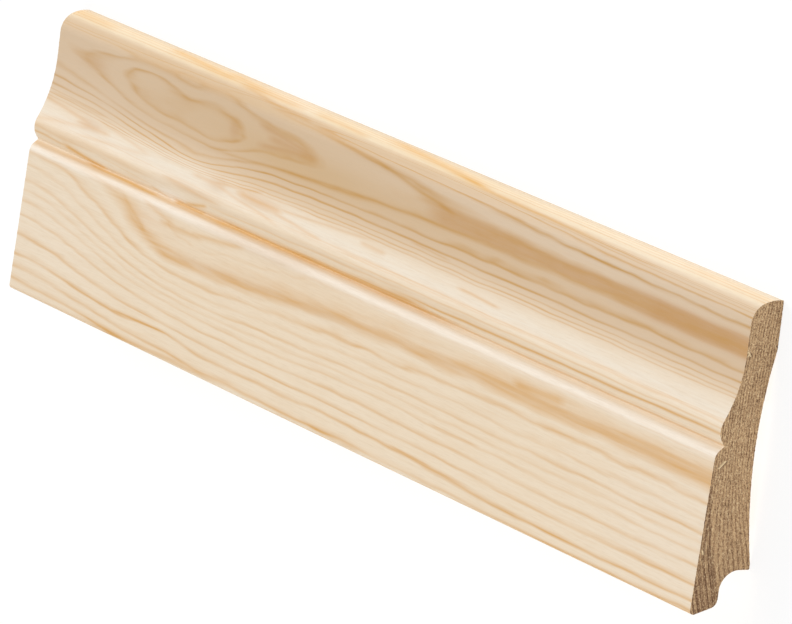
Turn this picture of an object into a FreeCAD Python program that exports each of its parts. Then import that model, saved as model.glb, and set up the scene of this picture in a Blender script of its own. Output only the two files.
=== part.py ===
import FreeCAD, Part
import math
import os

import Sketcher

# A short length of ogee skirting board, run from one piece of pine.
#
# The board lies on its back. X runs along the length, Y across the board
# towards the edge that is uppermost on the wall, and Z out of the back, so
# that the moulded face looks up. The origin is at the middle of the back.
# All sizes are in millimetres, and angles in degrees.
#
# The section is that of a planed 95 x 19 moulding. Its face has a thin plain
# top, an ogee (a long hollow that turns over into a bead), a quirk below the
# bead, and a plain lower face that leans out to the toe. Its back is hollowed
# so that only two lands touch the wall, the heel has a coved rebate, and the
# bottom edge is undercut so that only the toe meets the floor.

SIZES = {
    # the piece
    "board_length": 428.0,
    "board_width": 95.0,
    "board_thickness": 19.0,
    # the plain lower face, from the toe up to the shoulder
    "face_lean": 1.9,
    "shoulder_radius": 4.0,
    "toe_radius": 1.2,
    # the quirk and the bead
    "quirk_run": 2.4,
    "quirk_depth": 2.1,
    "quirk_radius": 0.5,
    "bead_set_back": 0.8,
    "bead_radius": 6.0,
    # the ogee hollow and the plain top
    "ogee_radius": 46.0,
    "ogee_below_top": 15.6,
    "top_thickness": 10.5,
    "nose_radius": 6.8,
    "crown_radius": 12.4,
    "top_flat": 1.4,
    "arris_radius": 0.5,
    # the hollow back and the two lands beside it
    "upper_land": 15.0,
    "lower_land": 1.8,
    "back_hollow": 3.4,
    # the coved heel and the undercut bottom edge
    "heel_height": 13.4,
    "heel_depth": 9.8,
    "heel_cove_radius": 6.5,
    "heel_radius": 3.0,
    "undercut_angle": 18.0,
}

# How far a cutting profile is drawn past the wood, so that it leaves no skin.
RUN_OUT = 4.0

# The places on a sketch's line or arc that a constraint can take hold of.
START = 1
END = 2
CENTRE = 3
ORIGIN = (-1, 1)
AXIS_ALONG = -1

NAME = "skirting_board"


def add_sheet(document):
    """Put the driving sizes in a spreadsheet, one named cell each."""
    sheet = document.addObject("Spreadsheet::Sheet", "Sizes")
    sheet.Label = "Sizes"
    for row, (name, value) in enumerate(SIZES.items(), start=1):
        sheet.set(f"A{row}", name)
        sheet.set(f"B{row}", str(value))
        sheet.setAlias(f"B{row}", name)
    document.recompute()
    return sheet


def section_sketch(body, name, label):
    """Add an empty sketch on the plane that cuts square across the board."""
    sketch = body.newObject("Sketcher::SketchObject", name)
    sketch.Label = label
    plane = next(item for item in body.Origin.OriginFeatures if item.Role == "YZ_Plane")
    sketch.AttachmentSupport = [(plane, "")]
    sketch.MapMode = "FlatFace"
    return sketch


def dimension(sketch, kind, name, places, expression):
    """Add a named dimension to a sketch and bind it to the sheet."""
    indices = [value for place in places for value in place]
    number = sketch.addConstraint(Sketcher.Constraint(kind, *indices, start_value(sketch, kind, places)))
    sketch.renameConstraint(number, name)
    sketch.setExpression(f"Constraints.{name}", expression)


def start_value(sketch, kind, places):
    """Measure what a dimension has now, so that it starts where it is drawn."""
    if kind == "Radius":
        return sketch.Geometry[places[0][0]].Radius
    if kind == "Angle":
        run = sketch.Geometry[places[0][0]]
        return math.atan2(run.EndPoint.y - run.StartPoint.y, run.EndPoint.x - run.StartPoint.x)
    first, second = (point_of(sketch, place) for place in places)
    if kind == "DistanceX":
        return second.x - first.x
    return second.y - first.y


def point_of(sketch, place):
    """Give the sketch point that a place stands for."""
    if place == ORIGIN:
        return FreeCAD.Vector(0, 0, 0)
    item = sketch.Geometry[place[0]]
    if place[1] == CENTRE:
        return item.Center
    return item.StartPoint if place[1] == START else item.EndPoint


def join(sketch, kind, first, second):
    """Join two ends, either as a corner (Coincident) or smoothly (Tangent)."""
    sketch.addConstraint(Sketcher.Constraint(kind, *first, *second))


def line(start, end):
    """Give a straight edge between two points of the section."""
    return Part.LineSegment(FreeCAD.Vector(*start, 0), FreeCAD.Vector(*end, 0))


def arc(centre, radius, start_angle, end_angle):
    """Give an arc that runs anticlockwise between two angles in radians."""
    circle = Part.Circle(FreeCAD.Vector(*centre, 0), FreeCAD.Vector(0, 0, 1), radius)
    return Part.ArcOfCircle(circle, start_angle, end_angle)


def moulded_section(body):
    """Draw the outline that the face and edge cutters leave.

    It runs round from the bottom of the back: up the back, over the crowned
    top and its nose, down the plain top, the hollow and the bead of the ogee,
    into the quirk, out to the shoulder and down the leaning face to the toe.
    """
    size = SIZES
    half = size["board_width"] / 2
    thick = size["board_thickness"]
    top = size["top_thickness"]
    shoulder = thick - size["face_lean"]
    bead = shoulder - size["bead_set_back"]
    quirk = bead - size["quirk_depth"]

    # The crown rolls over into the nose where the line of centres meets both.
    crown = (half - size["crown_radius"], size["top_flat"])
    nose_across = top - size["nose_radius"]
    centres_apart = size["crown_radius"] - size["nose_radius"]
    roll = math.acos((nose_across - crown[1]) / centres_apart)
    nose = (crown[0] + centres_apart * math.sin(roll), nose_across)

    # The hollow turns into the bead where the line of their centres crosses.
    hollow = (half - size["ogee_below_top"], top + size["ogee_radius"])
    bead_across = bead - size["bead_radius"]
    reach = size["ogee_radius"] + size["bead_radius"]
    turn = math.acos((hollow[1] - bead_across) / reach)
    bead_centre = (hollow[0] - reach * math.sin(turn), bead_across)
    rise = math.asin((quirk - bead_across) / size["bead_radius"])
    quirk_point = (bead_centre[0] - size["bead_radius"] * math.cos(rise), quirk)
    shoulder_point = (quirk_point[0] - size["quirk_run"], shoulder)

    # The face comes down to touch the rounded toe, and the undercut leaves it.
    toe_radius = size["toe_radius"]
    toe = (toe_radius - half, thick - toe_radius)
    fall = (shoulder_point[0] - toe[0], shoulder_point[1] - toe[1])
    lean = math.asin(toe_radius / math.hypot(*fall)) - math.atan2(fall[1], fall[0])
    under_angle = math.radians(size["undercut_angle"])
    toe_front = (toe[0] + toe_radius * math.sin(lean), toe[1] + toe_radius * math.cos(lean))
    toe_back = (toe[0] - toe_radius * math.cos(under_angle), toe[1] - toe_radius * math.sin(under_angle))
    bottom = (toe_back[0] + toe_back[1] * math.tan(under_angle), 0)

    sketch = section_sketch(body, "MouldedSection", "Moulded section")
    quarter = math.pi / 2
    (back, top_edge, crown_arc, nose_arc, plain, hollow_arc,
     bead_arc, wall, face, toe_arc, under) = sketch.addGeometry([
        line(bottom, (half, 0)),
        line((half, 0), (half, size["top_flat"])),
        arc(crown, size["crown_radius"], 0, quarter - roll),
        arc(nose, size["nose_radius"], quarter - roll, quarter),
        line((nose[0], top), (hollow[0], top)),
        arc(hollow, size["ogee_radius"], 3 * quarter - turn, 3 * quarter),
        arc(bead_centre, size["bead_radius"], quarter - turn, math.pi - rise),
        line(quirk_point, shoulder_point),
        line(shoulder_point, toe_front),
        arc(toe, toe_radius, quarter - lean, math.pi + under_angle),
        line(toe_back, bottom),
    ])

    join(sketch, "Coincident", (back, END), (top_edge, START))
    join(sketch, "Tangent", (top_edge, END), (crown_arc, START))
    join(sketch, "Tangent", (crown_arc, END), (nose_arc, START))
    join(sketch, "Tangent", (nose_arc, END), (plain, START))
    join(sketch, "Tangent", (plain, END), (hollow_arc, END))
    join(sketch, "Tangent", (hollow_arc, START), (bead_arc, START))
    join(sketch, "Coincident", (bead_arc, END), (wall, START))
    join(sketch, "Coincident", (wall, END), (face, START))
    join(sketch, "Tangent", (face, END), (toe_arc, START))
    join(sketch, "Tangent", (toe_arc, END), (under, START))
    join(sketch, "Coincident", (under, END), (back, START))
    join(sketch, "PointOnObject", (back, START), (AXIS_ALONG,))
    join(sketch, "PointOnObject", (back, END), (AXIS_ALONG,))
    sketch.addConstraint(Sketcher.Constraint("Vertical", top_edge))
    sketch.addConstraint(Sketcher.Constraint("Horizontal", plain))

    across = "DistanceX"
    outward = "DistanceY"
    dimension(sketch, across, "TopEdge", [ORIGIN, (back, END)], "Sizes.board_width / 2")
    dimension(sketch, across, "BottomEdge", [(toe_arc, CENTRE), ORIGIN], "Sizes.board_width / 2 - Sizes.toe_radius")
    dimension(sketch, outward, "Front", [ORIGIN, (toe_arc, CENTRE)], "Sizes.board_thickness - Sizes.toe_radius")
    dimension(sketch, "Radius", "Toe", [(toe_arc,)], "Sizes.toe_radius")
    dimension(sketch, outward, "TopFlat", [ORIGIN, (top_edge, END)], "Sizes.top_flat")
    dimension(sketch, "Radius", "Crown", [(crown_arc,)], "Sizes.crown_radius")
    dimension(sketch, "Radius", "Nose", [(nose_arc,)], "Sizes.nose_radius")
    dimension(sketch, outward, "PlainTop", [ORIGIN, (plain, END)], "Sizes.top_thickness")
    dimension(sketch, across, "OgeeStart", [(plain, END), (back, END)], "Sizes.ogee_below_top")
    dimension(sketch, "Radius", "Hollow", [(hollow_arc,)], "Sizes.ogee_radius")
    dimension(sketch, "Radius", "Bead", [(bead_arc,)], "Sizes.bead_radius")
    dimension(sketch, outward, "BeadCentre", [ORIGIN, (bead_arc, CENTRE)],
              "Sizes.board_thickness - Sizes.face_lean - Sizes.bead_set_back - Sizes.bead_radius")
    dimension(sketch, outward, "Quirk", [(wall, START), (bead_arc, CENTRE)],
              "Sizes.quirk_depth - Sizes.bead_radius")
    dimension(sketch, across, "QuirkRun", [(wall, END), (wall, START)], "Sizes.quirk_run")
    dimension(sketch, outward, "Shoulder", [ORIGIN, (wall, END)], "Sizes.board_thickness - Sizes.face_lean")
    dimension(sketch, "Angle", "Undercut", [(under,)], "Sizes.undercut_angle - 90")

    corners = {"quirk": (wall, START), "shoulder": (wall, END), "undercut": (under, START), "top": (back, END)}
    return sketch, corners


def heel_section(body):
    """Draw the rebate below the lower land, with its cove in the inner corner."""
    size = SIZES
    bottom = -size["board_width"] / 2
    ledge = bottom + size["heel_height"]
    radius = size["heel_cove_radius"]
    depth = size["heel_depth"]

    sketch = section_sketch(body, "HeelSection", "Heel rebate section")
    top, cove, wall, below, behind = sketch.addGeometry([
        line((ledge, -RUN_OUT), (ledge, depth - radius)),
        arc((ledge - radius, depth - radius), radius, 0, math.pi / 2),
        line((ledge - radius, depth), (bottom - RUN_OUT, depth)),
        line((bottom - RUN_OUT, depth), (bottom - RUN_OUT, -RUN_OUT)),
        line((bottom - RUN_OUT, -RUN_OUT), (ledge, -RUN_OUT)),
    ])
    join(sketch, "Tangent", (top, END), (cove, START))
    join(sketch, "Tangent", (cove, END), (wall, START))
    join(sketch, "Coincident", (wall, END), (below, START))
    join(sketch, "Coincident", (below, END), (behind, START))
    join(sketch, "Coincident", (behind, END), (top, START))
    sketch.addConstraint(Sketcher.Constraint("Vertical", top))
    sketch.addConstraint(Sketcher.Constraint("Horizontal", wall))
    sketch.addConstraint(Sketcher.Constraint("Vertical", below))
    sketch.addConstraint(Sketcher.Constraint("Horizontal", behind))

    dimension(sketch, "DistanceX", "Ledge", [(top, END), ORIGIN],
              "Sizes.board_width / 2 - Sizes.heel_height")
    dimension(sketch, "DistanceY", "HeelWall", [ORIGIN, (wall, START)], "Sizes.heel_depth")
    dimension(sketch, "Radius", "Cove", [(cove,)], "Sizes.heel_cove_radius")
    dimension(sketch, "DistanceX", "PastBottom", [(below, START), ORIGIN],
              f"Sizes.board_width / 2 + {RUN_OUT}")
    dimension(sketch, "DistanceY", "PastBack", [(behind, START), ORIGIN], str(RUN_OUT))
    return sketch


def hollow_section(body):
    """Draw the circle whose edge dips into the back between the two lands."""
    size = SIZES
    top = size["board_width"] / 2 - size["upper_land"]
    bottom = size["heel_height"] + size["lower_land"] - size["board_width"] / 2
    half_chord = (top - bottom) / 2
    depth = size["back_hollow"]
    radius = (half_chord ** 2 + depth ** 2) / (2 * depth)

    sketch = section_sketch(body, "HollowSection", "Back hollow section")
    centre = FreeCAD.Vector((top + bottom) / 2, depth - radius, 0)
    ring = sketch.addGeometry(Part.Circle(centre, FreeCAD.Vector(0, 0, 1), radius))
    width = "(Sizes.board_width - Sizes.upper_land - Sizes.lower_land - Sizes.heel_height)"
    reach = f"(({width} / 2) ^ 2 + Sizes.back_hollow ^ 2) / (2 * Sizes.back_hollow)"
    dimension(sketch, "Radius", "HollowRadius", [(ring,)], reach)
    dimension(sketch, "DistanceX", "HollowMiddle", [ORIGIN, (ring, CENTRE)],
              "(Sizes.heel_height + Sizes.lower_land - Sizes.upper_land) / 2")
    dimension(sketch, "DistanceY", "HollowCentre", [(ring, CENTRE), ORIGIN], f"{reach} - Sizes.back_hollow")
    return sketch


def heel_rounding():
    """Give the heel's rounding, held to what its straight wall has room for."""
    angle = "Sizes.undercut_angle"
    rise_at_toe = f"Sizes.toe_radius * (1 - cos({angle}))"
    run = f"(Sizes.board_thickness - Sizes.toe_radius * (1 + sin({angle})) - Sizes.heel_depth)"
    wall = f"(Sizes.heel_height - Sizes.heel_cove_radius - {rise_at_toe} - {run} * tan({angle}))"
    return f"min(Sizes.heel_radius; 0.9 * {wall} / tan(45 - {angle} / 2))"


def run_cutter(body, sketch, name, label):
    """Cut a section along the whole length, and see that wood has gone."""
    before = body.Shape.Volume
    pocket = body.newObject("PartDesign::Pocket", name)
    pocket.Label = label
    pocket.Profile = sketch
    pocket.SideType = "Symmetric"
    pocket.setExpression("Length", f"Sizes.board_length + 2 * {RUN_OUT}")
    body.Document.recompute()
    if not body.Shape.Volume < before - 1.0:
        raise RuntimeError(f"{label} cuts no wood")
    return pocket


def edge_at(shape, across, outward):
    """Name the lengthwise edge that passes through a point of the section."""
    for number, edge in enumerate(shape.Edges, start=1):
        middle = edge.CenterOfMass
        if math.hypot(middle.y - across, middle.z - outward) < 0.01 and abs(middle.x) < 0.01:
            return f"Edge{number}"
    raise RuntimeError(f"no lengthwise edge at {across:.2f}, {outward:.2f}")


def round_over(body, point, name, label, radius):
    """Round the lengthwise edge at a point of the section."""
    base = body.Tip
    fillet = body.newObject("PartDesign::Fillet", name)
    fillet.Label = label
    fillet.Base = (base, [edge_at(base.Shape, *point)])
    fillet.setExpression("Radius", radius)
    body.Document.recompute()
    return fillet


def make_board(document):
    """Plane the board: mould the face, relieve the back, then ease the edges."""
    body = document.addObject("PartDesign::Body", "Board")
    body.Label = NAME

    section, corners = moulded_section(body)
    document.recompute()
    board = body.newObject("PartDesign::Pad", "MouldedBoard")
    board.Label = "Moulded board"
    board.Profile = section
    board.SideType = "Symmetric"
    board.setExpression("Length", "Sizes.board_length")
    document.recompute()

    corner = {name: point_of(section, place) for name, place in corners.items()}
    run_cutter(body, heel_section(body), "HeelRebate", "Heel rebate")
    run_cutter(body, hollow_section(body), "BackHollow", "Back hollow")

    # The bottom edge climbs from the toe to where the heel wall cuts it off.
    ledge = (SIZES["heel_height"] - SIZES["board_width"] / 2, 0)
    under = corner["undercut"]
    climb = (under.y - SIZES["heel_depth"]) * math.tan(math.radians(SIZES["undercut_angle"]))
    heel = (under.x + climb, SIZES["heel_depth"])
    for point, name, label, radius in [
        ((corner["shoulder"].x, corner["shoulder"].y), "Shoulder", "Shoulder rounding", "Sizes.shoulder_radius"),
        ((corner["quirk"].x, corner["quirk"].y), "QuirkRoot", "Quirk root", "Sizes.quirk_radius"),
        (heel, "Heel", "Heel rounding", heel_rounding()),
        ((corner["top"].x, corner["top"].y), "TopArris", "Top back arris", "Sizes.arris_radius"),
        (ledge, "LowerArris", "Lower back arris", "Sizes.arris_radius"),
    ]:
        round_over(body, point, name, label, radius)
    return body


def check(document, bodies):
    """Stop before anything is written if a feature or a solid has failed."""
    for item in document.Objects:
        if {"Invalid", "Error"} & set(item.State):
            raise RuntimeError(f"{item.Label} failed: {item.State}")
    for body in bodies:
        shape = body.Shape
        if shape.isNull() or not shape.isValid() or len(shape.Solids) != 1:
            raise RuntimeError(f"{body.Label} is not one sound solid")


def main():
    """Build the board and write its solid."""
    document = FreeCAD.newDocument("SkirtingBoard")
    add_sheet(document)
    board = make_board(document)
    document.recompute()
    check(document, [board])

    box = board.Shape.BoundBox
    print(f"{NAME}: {box.XLength:.2f} x {box.YLength:.2f} x {box.ZLength:.2f} mm, "
          f"{board.Shape.Volume / 1000:.1f} cm3")
    os.makedirs("parts", exist_ok=True)
    board.Shape.exportStep(os.path.join("parts", f"{NAME}.step"))


main()
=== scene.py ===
"""A short length of ogee skirting board in planed pine, on a plain pale floor.

The board lies on its back. X runs along it, Y across it towards the edge that is
uppermost on the wall, and Z out of the back, so that the moulded face looks up.
Blender's unit is the metre. A joiner's sizes, and the growth of the wood, are given
in millimetres, and MM turns them into metres.
"""

import logging
import math
from dataclasses import dataclass
from enum import Enum
from functools import reduce
from typing import Any, TypeVar

import bpy
import numpy as np
from mathutils import Matrix, Vector, noise


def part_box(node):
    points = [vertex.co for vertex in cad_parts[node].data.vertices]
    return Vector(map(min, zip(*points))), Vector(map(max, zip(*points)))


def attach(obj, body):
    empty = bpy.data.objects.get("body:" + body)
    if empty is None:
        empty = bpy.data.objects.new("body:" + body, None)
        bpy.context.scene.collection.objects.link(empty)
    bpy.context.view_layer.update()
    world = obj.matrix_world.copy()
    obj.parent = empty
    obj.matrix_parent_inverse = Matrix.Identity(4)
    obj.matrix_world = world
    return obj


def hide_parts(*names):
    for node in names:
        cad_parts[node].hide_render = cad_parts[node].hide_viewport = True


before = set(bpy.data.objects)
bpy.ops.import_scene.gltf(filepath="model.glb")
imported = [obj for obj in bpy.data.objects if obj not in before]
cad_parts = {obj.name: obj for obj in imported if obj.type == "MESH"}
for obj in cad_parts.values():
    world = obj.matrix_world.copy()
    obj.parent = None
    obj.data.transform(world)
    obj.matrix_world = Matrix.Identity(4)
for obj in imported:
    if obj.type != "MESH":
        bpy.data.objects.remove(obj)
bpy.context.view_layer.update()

MM = 0.001
NODE = "skirting_board"
BODY = "root"

# A streak has its full strength from about a sixth of its run to the same place before its end.
TAPER = 7.0

log = logging.getLogger("skirting")

Number = TypeVar("Number", float, np.ndarray, "Value")
Point = tuple[float, float]
Colour = tuple[float, float, float, float]


def paint(red: int, green: int, blue: int) -> Colour:
    """Turn a colour, as a screen shows it, into the linear one that a shader takes.

    Args:
        red: Its red, from 0 to 255.
        green: Its green, from 0 to 255.
        blue: Its blue, from 0 to 255.

    Returns:
        The linear colour, with a full alpha.
    """
    shares = [share / 255 for share in (red, green, blue)]
    linear = [share / 12.92 if share <= 0.04045 else ((share + 0.055) / 1.055) ** 2.4 for share in shares]
    return (*linear, 1.0)


def grey(level: float) -> Colour:
    """Give the linear grey of a level, with a full alpha."""
    return (level, level, level, 1.0)


class Value:
    """A number in a shader, on which sums are written as on any other number."""

    def __init__(self, bench: "Bench", socket: bpy.types.NodeSocket) -> None:
        """Wrap an output socket of the bench's node tree."""
        self.bench = bench
        self.socket = socket

    def maths(self, operation: str, *terms: Any, clamp: bool = False) -> "Value":
        """Work out one Math node.

        Args:
            operation: What the node does.
            terms: The numbers or values that it takes, in order.
            clamp: Whether the result is held between 0 and 1.

        Returns:
            The result.
        """
        settings = {"operation": operation, "use_clamp": clamp}
        made = self.bench.node("ShaderNodeMath", settings, dict(enumerate(terms)))
        return Value(self.bench, made.outputs[0])

    def __add__(self, other: Any) -> "Value":
        """Add."""
        return self.maths("ADD", self, other)

    def __radd__(self, other: Any) -> "Value":
        """Add to a plain number."""
        return self.maths("ADD", other, self)

    def __sub__(self, other: Any) -> "Value":
        """Subtract."""
        return self.maths("SUBTRACT", self, other)

    def __rsub__(self, other: Any) -> "Value":
        """Subtract from a plain number."""
        return self.maths("SUBTRACT", other, self)

    def __mul__(self, other: Any) -> "Value":
        """Multiply."""
        return self.maths("MULTIPLY", self, other)

    def __rmul__(self, other: Any) -> "Value":
        """Multiply a plain number."""
        return self.maths("MULTIPLY", other, self)

    def __truediv__(self, other: Any) -> "Value":
        """Divide."""
        return self.maths("DIVIDE", self, other)

    def __rtruediv__(self, other: Any) -> "Value":
        """Divide a plain number."""
        return self.maths("DIVIDE", other, self)

    def __pow__(self, other: Any) -> "Value":
        """Raise to a power."""
        return self.maths("POWER", self, other)

    def held(self) -> "Value":
        """Hold between 0 and 1."""
        return self.maths("ADD", self, 0.0, clamp=True)

    def cycle(self) -> "Value":
        """Keep what is past the last whole number."""
        return self.maths("FRACT", self)


class Bench:
    """One material's node tree, with a single method that makes any node."""

    def __init__(self, name: str) -> None:
        """Start a material with an empty node tree.

        Args:
            name: What the material is called.
        """
        self.material = bpy.data.materials.new(name)
        self.material.use_nodes = True
        self.tree = self.material.node_tree
        self.tree.nodes.clear()

    def node(self, kind: str, settings: dict[str, Any] | None = None,
             sockets: dict[Any, Any] | None = None) -> Any:
        """Make a node.

        Args:
            kind: The node's type.
            settings: What is set on the node itself, before its sockets.
            sockets: A value or a link for each socket, by name or place.

        Returns:
            The new node.
        """
        made = self.tree.nodes.new(kind)
        for name, value in (settings or {}).items():
            setattr(made, name, value)
        for key, value in (sockets or {}).items():
            if isinstance(value, Value):
                value = value.socket
            if isinstance(value, bpy.types.NodeSocket):
                self.tree.links.new(value, made.inputs[key])
            else:
                made.inputs[key].default_value = value
        return made

    def place(self) -> tuple[Value, Value, Value]:
        """Find the point on the piece.

        Returns:
            Its places along, across and out of the back, in millimetres.
        """
        source = self.node("ShaderNodeTexCoord").outputs["Object"]
        parts = self.node("ShaderNodeSeparateXYZ", sockets={0: source})
        along, across, out = (Value(self, socket) / MM for socket in parts.outputs)
        return along, across, out

    def noise(self, place: tuple[Any, Any, Any], grain: "Grain") -> Value:
        """Give smooth noise from about -1 to 1.

        Args:
            place: The point, in millimetres.
            grain: The size and roughness of the noise.

        Returns:
            The noise.
        """
        point = self.node("ShaderNodeCombineXYZ", sockets={
            axis: place[axis] / grain.pitch[axis] for axis in range(3)})
        made = self.node("ShaderNodeTexNoise", {"noise_dimensions": "3D"}, {
            "Vector": point.outputs[0], "Scale": 1.0, "Detail": grain.detail,
            "Roughness": grain.roughness})
        return (Value(self, made.outputs[0]) - 0.5) * 2.0

    def stack(self, ground: Any, *layers: tuple[Any, Any]) -> Any:
        """Lay colours over one another.

        Args:
            ground: The lowest colour.
            layers: Each layer's share, from 0 to 1, and its colour, from the lowest up.

        Returns:
            The colour that shows.
        """
        for share, colour in layers:
            blend = self.node("ShaderNodeMix", {"data_type": "RGBA", "clamp_factor": True},
                              {0: share, 6: ground, 7: colour})
            ground = blend.outputs[2]
        return ground

    def finish(self, colour: Any, roughness: Any, height: Any, specular: float) -> bpy.types.Material:
        """Make the shader of the wood and close the tree.

        Args:
            colour: The surface's own colour.
            roughness: How matt it is.
            height: Its relief, in millimetres.
            specular: The strength of its gloss.

        Returns:
            The material.
        """
        bump = self.node("ShaderNodeBump", sockets={"Strength": 1.0, "Distance": MM, "Height": height})
        surface = self.node("ShaderNodeBsdfPrincipled", sockets={
            "Base Color": colour, "Roughness": roughness, "Specular IOR Level": specular,
            "Normal": bump.outputs[0]})
        return self.close(surface.outputs[0])

    def close(self, shader: bpy.types.NodeSocket) -> bpy.types.Material:
        """Feed a shader to the material's output, and give the material."""
        self.node("ShaderNodeOutputMaterial", sockets={0: shader})
        return self.material


def held(value: Number) -> Number:
    """Hold a number, or each number of a list, between 0 and 1."""
    return value.held() if isinstance(value, Value) else np.clip(value, 0.0, 1.0)


def cycle(value: Number) -> Number:
    """Keep what is past the last whole number."""
    return value.cycle() if isinstance(value, Value) else value - np.floor(value)


def greater(first: Number, second: Number) -> Number:
    """Give the greater of two numbers, or of each pair in two lists."""
    return first.maths("MAXIMUM", first, second) if isinstance(first, Value) else np.maximum(first, second)


@dataclass(frozen=True)
class Grain:
    """Smooth unevenness of the wood.

    Its pitch is how far apart its features are along, across and out of the back,
    in millimetres.
    """

    pitch: tuple[float, float, float]
    detail: float = 2.0
    roughness: float = 0.5


@dataclass(frozen=True)
class Ramp:
    """A share that climbs from nothing at one place to its strength a run further.

    With a run below 0 it climbs downwards.
    """

    start: float
    run: float
    strength: float = 1.0

    def share(self, place: Number) -> Number:
        """Give the share at a place."""
        return held((place - self.start) / self.run) * self.strength


@dataclass(frozen=True)
class Patch:
    """An oval stretch of the wood that is strongest in its middle.

    A patch is placed along and across the board, and goes right through it.
    """

    along: float
    across: float
    reach_along: float
    reach_across: float
    strength: float

    def nearness(self, along: Number, across: Number) -> Number:
        """Tell how far off the patch's middle a place is.

        Args:
            along: The place along the board, in millimetres.
            across: The place across it, in millimetres.

        Returns:
            The distance squared: 0 in the middle, and 1 on the oval of the patch's reach.
        """
        run = (along - self.along) / self.reach_along
        rise = (across - self.across) / self.reach_across
        return run * run + rise * rise


class Swell(Patch):
    """A place where the tree grew thicker or thinner, which bends its rings."""

    def lift(self, along: Number, across: Number) -> Number:
        """Give how far the rings are raised there, in millimetres."""
        spread = self.nearness(along, across) + 1.0
        return self.strength / (spread * spread)


class Stain(Patch):
    """A stretch with a flat middle and soft ends that is tinted another colour."""

    def share(self, along: Number, across: Number) -> Number:
        """Give how much of the stain's colour there is, from 0 to its strength."""
        away = self.nearness(along, across)
        return self.strength / (away * away + 1.0)


@dataclass(frozen=True)
class Stroke:
    """A streak that runs from one place to another and thins out at both ends.

    Its places are along the board and, as a rule, across it.
    """

    along_from: float
    along_to: float
    across_from: float
    across_to: float
    width: float
    strength: float

    def travelled(self, along: Number) -> Number:
        """Give 0 at the streak's start and 1 at its end."""
        return (along - self.along_from) / (self.along_to - self.along_from)

    def square_aside(self, along: Number, across: Number) -> Number:
        """Tell how far off the streak's middle line a place is.

        Args:
            along: The place along the streak's run, in millimetres.
            across: The place across it, in millimetres.

        Returns:
            The distance in widths, squared.
        """
        middle = self.travelled(along) * (self.across_to - self.across_from)
        aside = (across - self.across_from - middle) / self.width
        return aside * aside

    def taper(self, along: Number) -> Number:
        """Give the share of the strength that is left towards the ends."""
        travelled = self.travelled(along)
        return held((travelled * (1.0 - travelled)) * TAPER) * self.strength

    def share(self, along: Number, across: Number) -> Number:
        """Give how much of the streak there is, from 0 to its strength."""
        spread = self.square_aside(along, across) + 1.0
        return self.taper(along) / (spread * spread)


class Band(Stroke):
    """A streak with an even middle and rather sharp sides."""

    def share(self, along: Number, across: Number) -> Number:
        """Give how much of the band there is, from 0 to its strength."""
        square = self.square_aside(along, across)
        return self.taper(along) / ((square * square) * (square * square) + 1.0)


@dataclass(frozen=True)
class Zone:
    """A band of another tone that runs the whole length of the board."""

    low: float
    low_blend: float
    high: float
    high_blend: float
    strength: float

    def share(self, across: Number) -> Number:
        """Give how much of the zone's tone there is, from 0 to its strength."""
        climb = held((across - self.low) / self.low_blend)
        return climb * held((self.high - across) / self.high_blend) * self.strength


@dataclass(frozen=True)
class Ring:
    """The dark latewood that closes one year's growth.

    It deepens slowly from within the ring and ends sharply at its outer edge.
    """

    growth: float
    width: float
    strength: float
    edge: float = 0.06

    def mark(self, growth: Number) -> Number:
        """Tell how much of the ring's latewood there is.

        Args:
            growth: The place in the growth, in millimetres.

        Returns:
            The share, from 0 to the ring's strength.
        """
        deepening = held((growth - (self.growth - self.width)) / self.width)
        ending = held((self.growth + self.edge - growth) / self.edge)
        return deepening * deepening * ending * self.strength


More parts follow.
